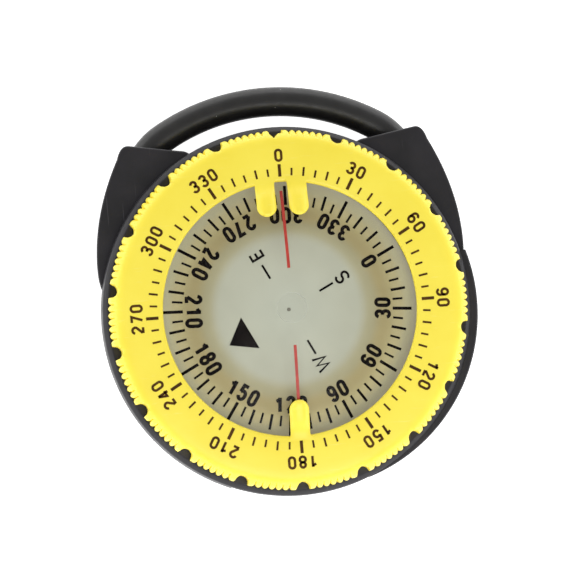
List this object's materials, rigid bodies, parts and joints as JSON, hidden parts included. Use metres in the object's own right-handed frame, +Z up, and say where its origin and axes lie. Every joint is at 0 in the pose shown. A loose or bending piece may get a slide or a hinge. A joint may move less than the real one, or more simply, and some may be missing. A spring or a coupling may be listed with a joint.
{
  "type": "handheld bearing compass",
  "caption": "Capsule bearing compass with a floating card, rotating toothed bezel with index prongs, side reading window and a rubber carry loop.",
  "frame": {"origin": "middle of the flat back, on the bezel's axis", "axes": "+Z up along the bezel's axis, out of the dome; +Y the direction of travel, towards the carry loop"},
  "size_m": [0.0763, 0.0837, 0.0303],
  "materials": {
    "black_plastic": "fine moulded texture, satin",
    "yellow_plastic": "semi-gloss moulded, printed numbers",
    "clear_plastic": "polished clear acrylic",
    "card_plastic": "matt, printed",
    "loop_rubber": "smooth moulded rubber",
    "seal_rubber": "matt",
    "steel": "turned stainless steel",
    "magnet_steel": "dull sintered magnet",
    "brass": "turned",
    "ruby": "polished synthetic stone"
  },
  "bodies": {
    "housing": {"housing": "black_plastic", "back_cover": "black_plastic", "back_screw_1": "steel", "back_screw_2": "steel", "back_screw_3": "steel", "back_screw_4": "steel", "capsule_bowl": "clear_plastic", "capsule_dome": "clear_plastic", "fill_plug": "clear_plastic", "capsule_seal": "seal_rubber", "capsule_cushion": "seal_rubber", "expansion_diaphragm": "seal_rubber", "diaphragm_ring": "brass", "pivot_post": "brass", "pivot_needle": "steel", "side_window": "clear_plastic", "window_seal": "seal_rubber", "bezel_snap_ring": "steel", "carry_loop": "loop_rubber", "loop_pin_left": "steel", "loop_pin_right": "steel", "detent_spring": "steel"},
    "bezel": {"bezel": "yellow_plastic"},
    "plunger": {"detent_plunger": "steel"},
    "stone": {"jewel_stone": "ruby"},
    "cup": {"jewel_cup": "brass"},
    "card": {"card": "card_plastic", "magnet_yoke": "card_plastic", "magnet_left": "magnet_steel", "magnet_right": "magnet_steel"}
  },
  "joints": [
    {"name": "bezel_turn", "type": "hinge", "parent": "housing", "child": "bezel", "pos_m": [0, 0, 0.0244], "axis": [0, 0, 1], "continuous": true},
    {"name": "detent_press", "type": "slide", "parent": "housing", "child": "plunger", "axis": [0, 0, -1], "range_m": [0, 0.0006], "stiffness_N_per_m": 300, "springref_m": -0.001, "deforming": ["detent_spring"]},
    {"name": "card_pitch", "type": "hinge", "parent": "housing", "child": "stone", "pos_m": [0, 0, 0.0212], "axis": [1, 0, 0], "range_deg": [-4.5, 4.5]},
    {"name": "card_roll", "type": "hinge", "parent": "stone", "child": "cup", "pos_m": [0, 0, 0.0212], "axis": [0, 1, 0], "range_deg": [-4.5, 4.5]},
    {"name": "card_spin", "type": "hinge", "parent": "cup", "child": "card", "pos_m": [0, 0, 0.0212], "axis": [0, 0, 1], "continuous": true}
  ]
}
